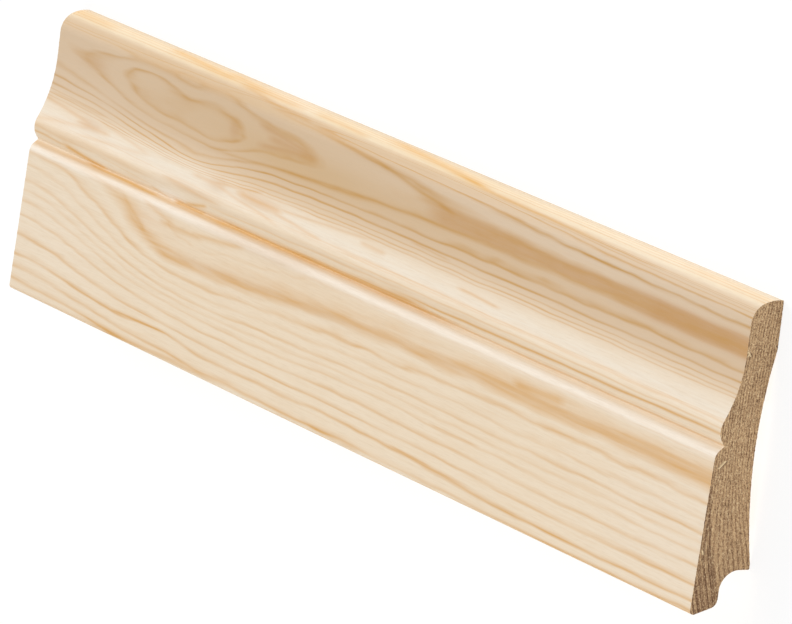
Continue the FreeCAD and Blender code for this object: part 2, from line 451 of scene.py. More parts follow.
@dataclass(frozen=True)
class Tree:
    """How the tree grew: its rings, and the swells that bend them.

    The growth at a place is its height above the back, raised by the arch of
    the rings about the pith, which lies far behind the board, and by the swells.
    """

    arch_middle: float = 3.0
    arch_blend: float = 4.0
    arch_below: float = 150.0
    arch_above: float = 800.0
    older_pitch: float = 1.3
    older_latewood: float = 0.5
    older_strength: float = 0.7
    oldest_face_ring: float = 8.4
    oldest_blend: float = 0.125

    # under the nose, then in the hollow, on the lower face and at the toe
    swells: tuple[Swell, ...] = (
        Swell(-5, 45, 180, 3, 2.60),
        Swell(-40, 45, 175, 9, -1.05),
        Swell(-55, 34, 65, 8, -0.35),
        Swell(-205, 33, 85, 17, -0.95),
        Swell(-210, 30, 65, 10, 0.70),
        Swell(-105, 27, 35, 22, -0.60),
        Swell(-120, 18, 55, 5, -0.90),
        Swell(-150, 37, 30, 8, -0.50),
        Swell(-145, 24, 40, 11, -0.50),
        Swell(70, 28, 120, 3, 0.20),
        Swell(190, 28, 80, 3, 0.12),
        Swell(150, 34, 100, 4, -0.10),
        Swell(-200, -9, 130, 29, 1.9),
        Swell(125, -14, 95, 4, 0.2),
        Swell(-120, -15, 100, 24, -2.0),
        Swell(20, -29, 70, 8, 0.4),
        Swell(-205, -31, 90, 25, 2.4),
        Swell(-115, -39, 25, 4, 0.9),
        Swell(10, -40, 180, 6, 1.2),
        Swell(125, -40, 110, 10, -0.6),
    )
    # those of the hollow, the pale ones at the shoulder, and those of the lower face
    rings: tuple[Ring, ...] = (
        Ring(10.32, 0.14, 0.55),
        Ring(10.60, 0.14, 0.50),
        Ring(10.98, 0.12, 0.50, 0.11),
        Ring(11.30, 0.11, 0.92),
        Ring(11.70, 0.15, 0.92, 0.10),
        Ring(12.12, 0.14, 0.58, 0.08),
        Ring(12.50, 0.16, 0.70, 0.10),
        Ring(12.82, 0.15, 0.56, 0.10),
        Ring(15.40, 0.20, 0.25),
        Ring(17.15, 0.12, 0.15),
        Ring(17.86, 0.98, 0.62, 0.42),
        Ring(18.74, 0.43, 0.51, 0.17),
        Ring(19.46, 0.36, 0.26, 0.14),
        Ring(20.28, 0.43, 0.43, 0.17),
        Ring(20.92, 0.41, 0.26, 0.17),
        Ring(21.67, 0.43, 0.32, 0.17),
        Ring(22.80, 0.53, 0.47, 0.19),
        Ring(24.42, 0.69, 0.63, 0.25),
        Ring(26.00, 0.60, 0.72, 0.23),
        Ring(27.08, 0.51, 0.62, 0.21),
        Ring(27.90, 0.44, 0.51, 0.18),
    )

    def growth(self, along: Number, across: Number, out: Number) -> Number:
        """Tell where a point of the board is in the tree's growth.

        Args:
            along: The point's place along the board, in millimetres.
            across: Its place across the board, in millimetres.
            out: Its height out of the back, in millimetres.

        Returns:
            The growth, in millimetres.
        """
        offset = across - self.arch_middle
        square = offset * offset
        lean = offset / (square + self.arch_blend ** 2) ** 0.5
        steep, gentle = 0.5 / self.arch_below, 0.5 / self.arch_above
        arch = square * ((steep + gentle) / 2 - lean * ((steep - gentle) / 2))
        return out + arch + sum(swell.lift(along, across) for swell in self.swells)

    def latewood(self, growth: Number) -> Number:
        """Tell how much latewood there is, in the rings of the face and the older ones.

        Args:
            growth: The place in the growth, in millimetres.

        Returns:
            The share, from 0 to about 1.
        """
        spent = cycle(growth / self.older_pitch)
        late = held((spent - (1.0 - self.older_latewood)) / self.older_latewood)
        fading = held((self.oldest_face_ring - growth) / self.oldest_blend)
        older = late * late * fading * self.older_strength
        return older + sum(ring.mark(growth) for ring in self.rings)


class Surface(Enum):
    """The two ways in which the wood was cut, and their places in the material list."""

    PLANED = 0
    SAWN = 1


@dataclass(frozen=True)
class PlanedPine:
    """Pine planed along the grain: cream earlywood, honey latewood, soft stains."""

    tree: Tree
    earlywood: Colour = paint(246, 227, 200)
    edgewood: Colour = paint(243, 223, 190)
    heartwood: Colour = paint(223, 196, 164)
    deep_heart_and_shade: Colour = paint(214, 180, 134)
    sapwood_and_sheen: Colour = paint(242, 228, 207)
    # The palest colour is partly a painted highlight, for the shoulder and some pale patches.
    pale_wood_and_highlight: Colour = paint(252, 239, 222)
    latewood: Colour = paint(223, 167, 88)
    heart_latewood: Colour = paint(202, 150, 72)
    resin: Colour = paint(232, 177, 90)
    tanwood: Colour = paint(203, 156, 106)
    rimwood: Colour = paint(213, 199, 177)
    fibre_dark: Colour = paint(226, 186, 134)
    pore_dark: Colour = paint(205, 183, 154)
    roughness: float = 0.5
    specular: float = 0.15

    # How far the rings stray, and how much less so in the heartwood of the hollow.
    wander: Grain = Grain((45, 9, 9))
    wander_reach: float = 0.22
    wander_calmed: float = 0.16
    ripple: Grain = Grain((15, 4, 4), 1.0)
    ripple_reach: float = 0.15
    ripple_calmed: float = 0.10
    sway: Grain = Grain((24, 6, 6), 1.0)
    sway_reach: float = 0.5

    # How far the tones of the rings, the ground, the fibres and the pores come and go.
    fade: Grain = Grain((38, 2.2, 2.2), 1.0)
    fade_depth: float = 0.95
    # The ring lines fade under the painted highlight of the shoulder.
    highlight_hush: float = 0.3
    cloud: Grain = Grain((60, 8, 8), 3.0)
    cloud_depth: float = 0.2
    fibre: Grain = Grain((20, 0.75, 0.75), 4.0, 0.65)
    fibre_depth: float = 0.32
    fibre_level: float = 0.05
    fibre_calmed: float = 0.4
    fibre_in_tan: float = 0.4
    fibre_in_edge: float = 0.4
    fibre_in_late: float = 0.3
    late_level: float = 0.9
    edge_level: float = 0.85
    edge_slant: float = 1.6
    pore: Grain = Grain((5, 0.34, 0.34))
    pore_depth: float = 0.30

    # The latewood is glossier, and the fibres and pores stand up a little.
    late_gloss: float = 0.08
    fibre_gloss: float = 0.05
    relief: float = 0.004

    # The tones that run the whole length. The rim's is placed by its height out of the back.
    edge: Zone = Zone(44.6, 1.8, 60.0, 10.0, 1.0)
    heart: Zone = Zone(14.0, 9.0, 46.0, 1.8, 1.0)
    # Darker at the nose: heartwood, and partly painted shade that holds back the gloss there.
    nose: Zone = Zone(41.4, 1.6, 46.0, 1.2, 0.40)
    # The band above the bead is paler sapwood with a painted sheen.
    sap_and_sheen: Zone = Zone(9.3, 3.0, 18.2, 5.0, 1.0)
    # The shoulder's zone is a painted highlight along the shoulder below the quirk, on paler wood.
    shoulder: Zone = Zone(-1.8, 2.2, 2.9, 1.4, 0.90)
    rim: Zone = Zone(-2.0, 1.0, 4.2, 3.0, 0.75)
    # deeper tones in the hollow, under the nose and above the bead; the one under the nose is partly
    # painted shade
    hearts: tuple[Stain, ...] = (
        Stain(-85, 31, 80, 8, 0.34),
        Stain(-50, 29.5, 40, 4, 0.24),
        Stain(20, 29, 90, 6, 0.30),
        Stain(-110, 43.4, 120, 1.6, 0.42),
        Stain(-105, 19.5, 100, 2.0, 0.20),
    )
    # the hollow's forked wedge and long band, the lower face's band, blots, and the bead's tint
    tans: tuple[Stain | Stroke, ...] = (
        Stroke(-80, -41, 37.8, 34.4, 1.3, 0.52),
        Stroke(-80, -41, 30.9, 34.4, 1.3, 0.52),
        Stroke(-74, -39, 34.4, 34.3, 1.9, 0.52),
        Band(26, 96, 33.7, 33.4, 3.1, 0.60),
        Band(62, 175, 33.2, 33.8, 2.2, 0.62),
        Band(132, 320, 33.3, 32.2, 3.3, 0.80),
        Stroke(-125, 30, -13.6, -8.3, 2.0, 0.28),
        Stroke(-20, 110, -9.0, -7.2, 1.8, 0.24),
        Stroke(60, 330, -7.0, -6.4, 1.9, 0.24),
        Stain(-93.5, 32.6, 3.2, 2.8, 0.42),
        Stain(-189, 34.5, 8, 2.0, 0.30),
        Stain(-181, 14.9, 7, 1.8, 0.36),
        Stain(-94, 14.3, 6, 2.2, 0.28),
        Stain(-68, 14.3, 13, 1.8, 0.28),
        Stain(-108, 9.2, 20, 1.3, 0.34),
        Stain(-60, 1.0, 30, 2.8, 0.22),
        Stroke(-260, 130, 8.0, 7.8, 1.4, 0.17),
    )
    # where the latewood is amber by the quirk, partly painted shade of the groove
    amber_and_groove_shade: Stain = Stain(-120, 3.5, 105, 4.0, 1.0)
    # paler stretches: pale wood, with painted highlight and painted light among them
    pale_wood_and_lit_patches: tuple[Stain, ...] = (
        Stain(-120, 4.5, 9, 2.0, 0.75),
        Stain(-130, -4.0, 9, 5.0, 0.40),
        Stain(120, 39, 100, 4.5, 0.18),
        Stain(-195, -25, 40, 26, 0.20),
        Stain(-192, 30, 34, 13, 0.07),
        # painted highlight just below the quirk
        Stain(-112, 1.2, 22, 1.3, 0.60),
        # painted light, lifting the lower face towards the near end
        Stain(198, -25, 40, 26, 0.28),
        Stain(170, 46.4, 75, 1.8, 0.24),
        Stain(-70, 46.6, 16, 1.2, 0.30),
    )
    # where the latewood is fainter
    hushes: tuple[Stain, ...] = (
        Stain(-205, 0.6, 34, 1.1, 0.65),
        Stain(-195, 24.5, 42, 5.0, 0.32),
        Stain(190, 24.5, 40, 5.0, 0.25),
        Stain(-205, -22, 45, 20, 0.22),
        Stain(60, -46.2, 34, 1.7, 0.50),
        Stain(-158, -3.2, 11, 2.6, 0.35),
    )
    # under the nose, in the hollow, over the bead, in the quirk, below it, and at the toe; some are
    # painted shade, as marked
    streaks: tuple[Stroke, ...] = (
        # the first two are partly painted shade under the nose
        Stroke(-104, -42, 46.5, 43.7, 0.8, 0.55),
        Stroke(-52, 12, 44.2, 39.9, 1.0, 0.64),
        Stroke(-12, 46, 42.4, 35.2, 1.0, 0.50),
        Stroke(-112, -8, 23.2, 29.3, 0.6, 0.42),
        Stroke(-34, 62, 28.3, 30.9, 0.7, 0.44),
        Stroke(50, 165, 45.6, 44.5, 0.45, 0.50),
        Stroke(-84, -50, 14.8, 14.0, 1.5, 0.60),
        Stroke(-62, -22, 13.6, 11.4, 0.7, 0.45),
        Stroke(-62, 6, 14.6, 17.6, 0.6, 0.40),
        Stroke(-40, 230, 11.7, 10.7, 0.5, 0.34),
        Stroke(-100, -66, 14.0, 17.4, 0.7, 0.46),
        Stroke(-100, -50, 14.2, 10.4, 0.7, 0.38),
        Stroke(-112, -88, 14.1, 14.0, 1.0, 0.34),
        Stroke(-225, -178, 18.7, 15.0, 1.0, 0.50),
        Stroke(-230, -175, 9.6, 14.4, 1.0, 0.34),
        Stroke(-192, -166, 14.6, 14.4, 1.1, 0.40),
        Stroke(-178, -138, 17.6, 13.9, 0.8, 0.30),
        Stroke(-190, -138, 10.6, 13.9, 0.8, 0.26),
        Stroke(-214, -172, 20.2, 19.4, 0.5, 0.42),
        Stroke(-60, 320, 10.9, 10.5, 0.4, 0.34),
        Stroke(-40, 300, 9.0, 8.7, 0.4, 0.40),
        Stroke(-5, 13, 15.6, 15.2, 0.8, 0.42),
        Stroke(55, 84, 14.9, 14.5, 0.6, 0.55),
        Stroke(22, 48, 21.9, 21.3, 0.4, 0.40),
        Stroke(-240, -130, 9.4, 8.4, 1.7, 0.26),
        Stroke(-240, -160, 8.4, 7.8, 0.35, 0.30),
        Stroke(-235, -182, 6.9, 5.6, 0.6, 0.65),
        Stroke(-196, -162, 6.2, 3.0, 1.2, 1.0),
        Stroke(-184, -122, 3.2, 2.5, 0.9, 1.0),
        Stroke(-172, -132, 7.4, 5.6, 0.4, 0.30),
        Stroke(-121, -96, 3.2, 3.4, 1.1, 0.95),
        Stroke(-113, -95, 3.8, 6.8, 0.8, 0.70),
        Stroke(-135, -117, 5.2, 2.2, 0.6, 0.42),
        Stroke(-104, 40, 6.9, 7.8, 0.4, 0.40),
        Stroke(-128, -86, 10.0, 8.6, 0.6, 0.34),
        Stroke(-120, 75, 2.9, 4.2, 1.25, 1.0),
        Stroke(-66, 50, 3.2, 5.3, 1.5, 0.95),
        Stroke(10, 240, 6.3, 7.4, 0.6, 0.95),
        Stroke(30, 250, 3.9, 3.7, 0.6, 0.55),
        Stroke(-300, -60, 2.5, 2.4, 0.9, 0.72),
        Stroke(-150, -129, -0.4, -10.6, 1.5, 0.26),
        Stroke(-136, -108, 0.2, -4.4, 1.1, 0.38),
        Stroke(-124, -92, -4.0, -4.1, 1.2, 0.48),
        Stroke(-136, -96, -9.8, -13.6, 1.3, 0.15),
        Stroke(-108, -66, -4.4, -0.8, 1.1, 0.50),
        Stroke(98, 132, -4.6, -4.2, 2.0, 0.50),
        Stroke(60, 330, -6.2, -6.0, 1.8, 0.26),
        Stroke(150, 240, -5.2, -4.4, 1.4, 0.36),
        Stroke(56, 88, -27.9, -28.3, 0.4, 0.40),
        Stroke(35, 62, -39.9, -40.4, 0.5, 0.38),
        Stroke(-146, -108, -38.9, -38.5, 0.5, 0.55),
        # darker along the toe; the two longest are painted shadow of the bottom edge
        Stroke(-170, -66, -46.2, -45.9, 1.1, 0.50),
        Stroke(-420, -90, -46.9, -46.9, 0.7, 0.34),
        Stroke(90, 420, -46.9, -46.9, 0.7, 0.34),
        Stroke(-14, 20, -45.4, -46.4, 0.8, 0.35),
    )
    # on the top edge, placed by their height out of the back
    edge_streaks: tuple[Stroke, ...] = (
        Stroke(-240, -184, 4.6, 5.6, 2.6, 0.45),
        Stroke(-152, -100, 3.8, 6.6, 2.0, 0.66),
        Stroke(-114, -56, 3.6, 7.2, 2.2, 0.48),
        Stroke(-54, -16, 5.4, 6.8, 1.4, 0.42),
        Stroke(-14, 62, 2.6, 7.4, 2.3, 0.62),
        Stroke(30, 130, 6.8, 8.8, 0.8, 0.66),
        Stroke(40, 240, 8.2, 8.6, 0.5, 0.25),
        Stroke(165, 240, 4.2, 6.0, 2.2, 0.16),
    )

    def material(self) -> bpy.types.Material:
        """Make the material.

        Returns:
            The material.
        """
        bench = Bench("planed_pine")
        place = bench.place()
        along, across, out = place
        heart = self.heart.share(across)
        wander = bench.noise(place, self.wander) * (self.wander_reach - heart * self.wander_calmed)
        ripple = bench.noise(place, self.ripple) * (self.ripple_reach - heart * self.ripple_calmed)
        growth = self.tree.growth(along, across, out) + wander + ripple
        aside = across + bench.noise(place, self.sway) * self.sway_reach
        fading = bench.noise(place, self.fade) * self.fade_depth + 1.0
        drawn = reduce(greater, (s.share(along, aside) for s in self.streaks))
        hush = self.shoulder.share(across) * self.highlight_hush
        hush = hush + sum(s.share(along, across) for s in self.hushes)
        late = (self.tree.latewood(growth) * fading + drawn) * (1.0 - held(hush))

        edge = self.edge.share(across)
        deep = self.nose.share(across) + sum(s.share(along, across) for s in self.hearts)
        pale = sum(s.share(along, across) for s in self.pale_wood_and_lit_patches)
        tan = reduce(greater, (s.share(along, aside) for s in self.tans))
        edgewise = out + (aside - across) * self.edge_slant
        orange = edge * sum(s.share(along, edgewise) for s in self.edge_streaks)
        amber_and_groove_shade = self.amber_and_groove_shade.share(along, across)

        cloud = bench.noise(place, self.cloud)
        fibre = bench.noise(place, self.fibre)
        pore = bench.noise(place, self.pore)
        shade = held(fibre * self.fibre_depth + self.fibre_level)

        ripe = bench.stack(self.latewood, (heart, self.heart_latewood), (amber_and_groove_shade, self.resin))
        colour = bench.stack(
            self.earlywood,
            (edge, self.edgewood),
            (edge * self.rim.share(out), self.rimwood),
            (heart, self.heartwood),
            (deep, self.deep_heart_and_shade),
            # the paler band above the bead, partly painted sheen
            (self.sap_and_sheen.share(across), self.sapwood_and_sheen),
            # the painted highlight of the shoulder, then pale wood with painted light in patches
            (self.shoulder.share(across), self.pale_wood_and_highlight),
            (pale, self.pale_wood_and_highlight),
            (held(cloud * self.cloud_depth), self.heartwood),
            (tan * (1.0 + fibre * self.fibre_in_tan), self.tanwood),
            (held(late) * (self.late_level + fibre * self.fibre_in_late), ripe),
            (orange * (self.edge_level + fibre * self.fibre_in_edge), self.resin),
            (shade * (1.0 - heart * self.fibre_calmed), self.fibre_dark),
            (held(pore * self.pore_depth), self.pore_dark),
        )
        roughness = self.roughness - held(late) * self.late_gloss + fibre * self.fibre_gloss
        height = fibre * self.relief + pore * self.relief
        return bench.finish(colour, roughness, height, self.specular)


@dataclass(frozen=True)
class SawnPine:
    """Pine sawn across the grain: darker, with its rings and torn fibres."""

    tree: Tree
    # The end's colours are the darker end grain, and partly painted shade of an end turned from the light.
    earlywood: Colour = paint(188, 155, 117)
    latewood: Colour = paint(112, 82, 60)
    fleck_dark: Colour = paint(80, 56, 40)
    fleck_pale: Colour = paint(232, 206, 164)
    roughness: float = 0.85
    specular: float = 0.10

    # The ring lines stand close behind the hollow and open out towards the foot.
    fan_growth: float = 10.0
    close_pitch: float = 0.93
    added_pitch: float = 0.80
    line_level: float = 0.67
    line_depth: float = 0.75
    line_calmed: float = 0.06
    line_broken: float = 0.8
    line_mended: float = 0.15
    lower_part: Ramp = Ramp(-6.0, -24.0)

    # The latewood is darkest in the outer rings, and towards the foot.
    late_power: float = 0.5
    late_level: float = 0.20
    outer_rings: Ramp = Ramp(15.5, 1.5, 0.65)
    foot: Ramp = Ramp(-20.0, -16.0, 0.14)
    face_rings: Ramp = Ramp(16.5, 1.5, 0.10)
    below_quirk: Ramp = Ramp(0.0, -6.0)
    ground: float = 0.19

    # The rings stray, the ground and the bands come and go, and the saw leaves grit.
    wander: Grain = Grain((50, 7, 5))
    wander_reach: float = 0.14
    cloud: Grain = Grain((40, 6, 3), 3.0)
    cloud_depth: float = 0.30
    band: Grain = Grain((40, 11.0, 0.95))
    band_depth: float = 0.35
    fleck: Grain = Grain((3, 1.5, 0.36), 1.5, 0.6)
    fleck_part: float = 0.65
    speck: Grain = Grain((3, 0.45, 0.34), 1.5)
    speck_part: float = 0.80
    grit_depth: float = 1.7
    grit_calmed: float = 0.3
    dark_margin: float = 0.05
    pale_margin: float = 0.12
    grit_relief: float = -0.16

    # The splinters of the near end run across it and out of the back.
    shadow_below: float = 0.7
    shadow_depth: float = 0.8
    splinter_shine: float = 1.6
    splinter_relief: float = 0.2
    splinters: tuple[Stroke, ...] = (
        Stroke(-3.5, -0.8, 15.6, 13.1, 0.40, 1.0),
        Stroke(30.4, 32.0, 9.1, 10.3, 0.30, 0.8),
        Stroke(30.2, 31.6, 10.4, 9.5, 0.25, 0.6),
        Stroke(-29.4, -27.8, 17.0, 17.5, 0.30, 0.7),
    )

    def material(self) -> bpy.types.Material:
        """Make the material.

        Returns:
            The material.
        """
        bench = Bench("sawn_pine_end")
        place = bench.place()
        along, across, out = place
        wander = bench.noise(place, self.wander) * self.wander_reach
        growth = self.tree.growth(along, across, out) + wander
        late = held(self.tree.latewood(growth)) ** self.late_power

        cloud = bench.noise(place, self.cloud)
        band = bench.noise((along, across, growth), self.band)
        fleck = bench.noise((along, across, growth), self.fleck)
        speck = bench.noise(place, self.speck)
        grit = fleck * self.fleck_part + speck * self.speck_part

        low = self.lower_part.share(across)
        beat = cycle((growth - self.fan_growth) / (low * self.added_pitch + self.close_pitch))
        lines = self.line_level - beat * (1.0 - beat) * 4.0
        broken = speck * (self.line_broken - low * self.line_mended)
        lines = lines * (self.line_depth - low * self.line_calmed + broken)
        depth = late * (self.outer_rings.share(growth) + self.late_level) + self.foot.share(across)
        depth = depth + self.face_rings.share(growth) * self.below_quirk.share(across)
        share = depth + band * self.band_depth + cloud * self.cloud_depth + lines + self.ground

        torn = grit * (self.grit_depth - low * self.grit_calmed)
        near = held(along)
        sliver = near * sum(s.share(across, out) for s in self.splinters)
        shadow = near * sum(s.share(across, out + self.shadow_below) for s in self.splinters)
        colour = bench.stack(
            self.earlywood,
            (held(share), self.latewood),
            (held(torn - self.dark_margin), self.fleck_dark),
            (held(torn * -1.0 - self.pale_margin), self.fleck_pale),
            (shadow * self.shadow_depth, self.fleck_dark),
            (sliver * self.splinter_shine, self.fleck_pale),
        )
        height = grit * self.grit_relief + sliver * self.splinter_relief
        return bench.finish(colour, self.roughness, height, self.specular)


@dataclass(frozen=True)
class Tear:
    """One scale of the unevenness that a saw leaves, as features in a millimetre."""

    across_rate: float
    out_rate: float
    apart: float
    strength: float

    def height(self, side: int, seed: int, across: float, out: float) -> float:
        """Give the unevenness at a point of an end, at most about the strength."""
        spot = Vector((across * self.across_rate, out * self.out_rate, side * self.apart + seed))
        return self.strength * noise.noise(spot)


class Pen:
    """Draws a section on the plane that cuts square across the board.

    It moves one vertex on by extruding it along a line or spinning it round an
    arc, as the section is drawn by hand.
    """

    # Two ends this close are joined, and the chords of an arc are no longer or wider.
    WELD = 0.002
    LONGEST = 0.9
    WIDEST = math.radians(6)

    def __init__(self, name: str, start: Point, along: float) -> None:
        """Begin with one vertex.

        Args:
            name: The name of the new object.
            start: The first point, across and out of the back, in millimetres.
            along: The place of the section along the board, in millimetres.
        """
        self.at = start
        self.along = along
        bpy.ops.object.select_all(action="DESELECT")
        bpy.ops.mesh.primitive_plane_add(size=MM, location=self.spot(start))
        bpy.context.object.name = name
        bpy.ops.object.mode_set(mode="EDIT")
        bpy.ops.mesh.select_mode(type="VERT")
        bpy.ops.mesh.select_all(action="SELECT")
        bpy.ops.mesh.merge(type="CENTER")

    def spot(self, point: Point) -> tuple[float, float, float]:
        """Give a point of the section in the frame, in metres."""
        return (self.along * MM, point[0] * MM, point[1] * MM)

    def line(self, end: Point) -> None:
        """Draw straight to a point.

        Args:
            end: The point, across and out of the back, in millimetres.
        """
        step = (0.0, (end[0] - self.at[0]) * MM, (end[1] - self.at[1]) * MM)
        bpy.ops.mesh.extrude_region_move(TRANSFORM_OT_translate={"value": step})
        self.at = end

    def arc(self, centre: Point, turn: float) -> None:
        """Draw round an arc.

        Args:
            centre: The arc's centre.
            turn: Its angle in radians, above 0 where the wood is inside the arc.
        """
        spoke = (self.at[0] - centre[0], self.at[1] - centre[1])
        steps = math.ceil(abs(turn) * max(math.hypot(*spoke) / self.LONGEST, 1 / self.WIDEST))
        # Seen along the axis, spin turns clockwise for an angle above 0.
        bpy.ops.mesh.spin(steps=max(steps, 2), angle=-turn, center=self.spot(centre), axis=(1, 0, 0))
        cos, sin = math.cos(turn), math.sin(turn)
        across = centre[0] + spoke[0] * cos - spoke[1] * sin
        self.at = (across, centre[1] + spoke[0] * sin + spoke[1] * cos)

    def round_corner(self, corner: Point, onward: Point, radius: float) -> None:
        """Draw up to a corner and round it over.

        Args:
            corner: The sharp corner.
            onward: Any point on the line that leaves it.
            radius: The radius of the rounding.
        """
        come = Vector(corner) - Vector(self.at)
        leave = Vector(onward) - Vector(corner)
        turn = come.angle(leave)
        come.normalize()
        start = Vector(corner) - come * radius * math.tan(turn / 2)
        inward = Vector((-come.y, come.x))
        self.line(tuple(start))
        self.arc(tuple(start + inward * radius), turn)

    def close(self) -> bpy.types.Object:
        """Join the last vertex to the first and fill the outline.

        Returns:
            The object, in edit mode.
        """
        bpy.ops.mesh.select_all(action="SELECT")
        bpy.ops.mesh.remove_doubles(threshold=self.WELD * MM)
        bpy.ops.mesh.edge_face_add()
        return bpy.context.object


@dataclass
class Board:
    """The length of skirting board, with its sizes in millimetres.

    The length, width and thickness come from the frame. The others are the
    moulding's own, from the toe up over the face and down the back.
    """

    tree: Tree
    length: float
    width: float
    thickness: float
    face_lean: float = 1.9
    shoulder_radius: float = 4.0
    toe_radius: float = 1.2
    quirk_run: float = 2.4
    quirk_depth: float = 2.1
    quirk_radius: float = 0.5
    bead_set_back: float = 0.8
    bead_radius: float = 6.0
    ogee_radius: float = 46.0
    ogee_below_top: float = 15.6
    top_thickness: float = 10.5
    nose_radius: float = 6.8
    crown_radius: float = 12.4
    top_flat: float = 1.4
    arris_radius: float = 0.5
    upper_land: float = 15.0
    lower_land: float = 1.8
    back_hollow: float = 3.4
    heel_height: float = 13.4
    heel_depth: float = 9.8
    heel_cove_radius: float = 6.5
    heel_radius: float = 3.0
    undercut: float = math.radians(18)

    # The small squares of an end, the cuts along the sides, the angle from which an edge is
    # a crease, and how far off a vertex may be and still belong to an end.
    end_grid: float = 0.42
    length_cuts: int = 26
    crease: float = math.radians(30)
    slack: float = 0.01

    # The saw tears an end at most this deep, the latewood less, in three patterns.
    tear_depth: float = 0.30
    tear_level: float = 0.45
    late_spared: float = 0.35
    tears: tuple[Tear, ...] = (Tear(0.9, 1.6, 11.0, 0.30), Tear(2.1, 2.6, 17.0, 0.45))
    kerf_sway: Tear = Tear(0.2, 0.3, 1.0, 2.0)
    kerf_across: float = 2.6
    kerf_out: float = 0.5
    kerf_strength: float = 0.06
    seed: int = 7

    # A face belongs to a sawn end where it faces along the board, this near the end.
    end_facing: float = 0.35
    end_reach: float = 1.0

    def draw_face(self, pen: Pen) -> None:
        """Draw the section from the top edge over the face to the toe.

        Args:
            pen: The pen, at the bottom of the top edge.
        """
        half = self.width / 2
        top = self.top_thickness
        bead_top = self.thickness - self.face_lean - self.bead_set_back

        crown = (half - self.crown_radius, self.top_flat)
        nose_out = top - self.nose_radius
        between = self.crown_radius - self.nose_radius
        roll = math.acos((nose_out - crown[1]) / between)
        nose = (crown[0] + between * math.sin(roll), nose_out)
        pen.line((half, self.top_flat))
        pen.arc(crown, math.pi / 2 - roll)
        pen.arc(nose, roll)

        hollow = (half - self.ogee_below_top, top + self.ogee_radius)
        bead_out = bead_top - self.bead_radius
        reach = self.ogee_radius + self.bead_radius
        turn = math.acos((hollow[1] - bead_out) / reach)
        bead = Vector((hollow[0] - reach * math.sin(turn), bead_out))
        pen.line((hollow[0], top))
        pen.arc(hollow, -turn)

        # The root of the quirk touches the bead and the wall that climbs to the shoulder.
        drop = self.quirk_depth - self.bead_radius
        foot = bead + Vector((-math.sqrt(self.bead_radius ** 2 - drop ** 2), -drop))
        shoulder = Vector((foot.x - self.quirk_run, self.thickness - self.face_lean))
        climb = (shoulder - foot).normalized()
        open_side = Vector((climb.y, -climb.x))
        beside = shoulder + open_side * self.quirk_radius - bead
        apart = self.bead_radius + self.quirk_radius
        lag = beside.dot(climb)
        back_off = math.sqrt(lag ** 2 - beside.length_squared + apart ** 2) - lag
        root = bead + beside + climb * back_off
        spoke = root - bead
        bead_turn = math.atan2(spoke.y, spoke.x) - (math.pi / 2 - turn)
        root_turn = math.pi - (-spoke).angle(open_side)
        pen.arc(tuple(bead), bead_turn)
        pen.arc(tuple(root), -root_turn)

        toe = Vector((self.toe_radius - half, self.thickness - self.toe_radius))
        fall = toe - shoulder
        droop = math.atan2(-fall.y, -fall.x) + math.asin(self.toe_radius / fall.length)
        face_end = toe + Vector((-math.sin(droop), math.cos(droop))) * self.toe_radius
        pen.round_corner(tuple(shoulder), tuple(face_end), self.shoulder_radius)
        pen.line(tuple(face_end))
        pen.arc(tuple(toe), math.pi / 2 - droop + self.undercut)

    def draw_back(self, pen: Pen) -> None:
        """Draw the section from the toe under the heel and up the back.

        Args:
            pen: The pen, where the rounding of the toe ends.
        """
        half = self.width / 2
        ledge = self.heel_height - half
        radius = self.heel_cove_radius

        under = Vector(pen.at)
        climb = (under.y - self.heel_depth) * math.tan(self.undercut)
        heel = (under.x + climb, self.heel_depth)
        pen.round_corner(heel, (ledge, self.heel_depth), self.heel_radius)
        pen.line((ledge - radius, self.heel_depth))
        pen.arc((ledge - radius, self.heel_depth - radius), -math.pi / 2)
        pen.round_corner((ledge, 0.0), (half, 0.0), self.arris_radius)

        low, high = ledge + self.lower_land, half - self.upper_land
        half_chord = (high - low) / 2
        hollow_radius = (half_chord ** 2 + self.back_hollow ** 2) / (2 * self.back_hollow)
        pen.line((low, 0.0))
        turn = 2 * math.asin(half_chord / hollow_radius)
        pen.arc(((low + high) / 2, self.back_hollow - hollow_radius), -turn)
        pen.round_corner((half, 0.0), (half, 1.0), self.arris_radius)

    def grid_section(self) -> None:
        """Cut the filled section into small squares, to be torn by the saw."""
        across = (Vector((0, 1, 0)), -self.width / 2, self.width)
        out = (Vector((0, 0, 1)), 0.0, self.thickness)
        for normal, start, span in (across, out):
            count = round(span / self.end_grid)
            for index in range(1, count):
                bpy.ops.mesh.select_all(action="SELECT")
                level = (start + span * index / count) * MM
                bpy.ops.mesh.bisect(plane_co=normal * level, plane_no=normal)

    def run_length(self) -> None:
        """Run the section out to the board's length, and divide its sides."""
        bpy.ops.mesh.select_all(action="SELECT")
        bpy.ops.mesh.extrude_region_move(TRANSFORM_OT_translate={"value": (self.length * MM, 0, 0)})
        # In edge mode the long edges can be picked without the short ones that join them.
        bpy.ops.mesh.select_mode(type="EDGE")
        bpy.ops.object.mode_set(mode="OBJECT")
        mesh = bpy.context.object.data
        for parts in (mesh.vertices, mesh.polygons):
            parts.foreach_set("select", [False] * len(parts))
        places = read(mesh.vertices, "co", 3)
        first, second = read(mesh.edges, "vertices", 2, np.int32).T
        lengthwise = np.abs(places[first, 0] - places[second, 0]) > self.length * MM / 2
        mesh.edges.foreach_set("select", lengthwise)
        bpy.ops.object.mode_set(mode="EDIT")
        bpy.ops.mesh.subdivide(number_cuts=self.length_cuts)
        bpy.ops.mesh.select_all(action="SELECT")
        bpy.ops.mesh.normals_make_consistent(inside=False)
        bpy.ops.object.mode_set(mode="OBJECT")

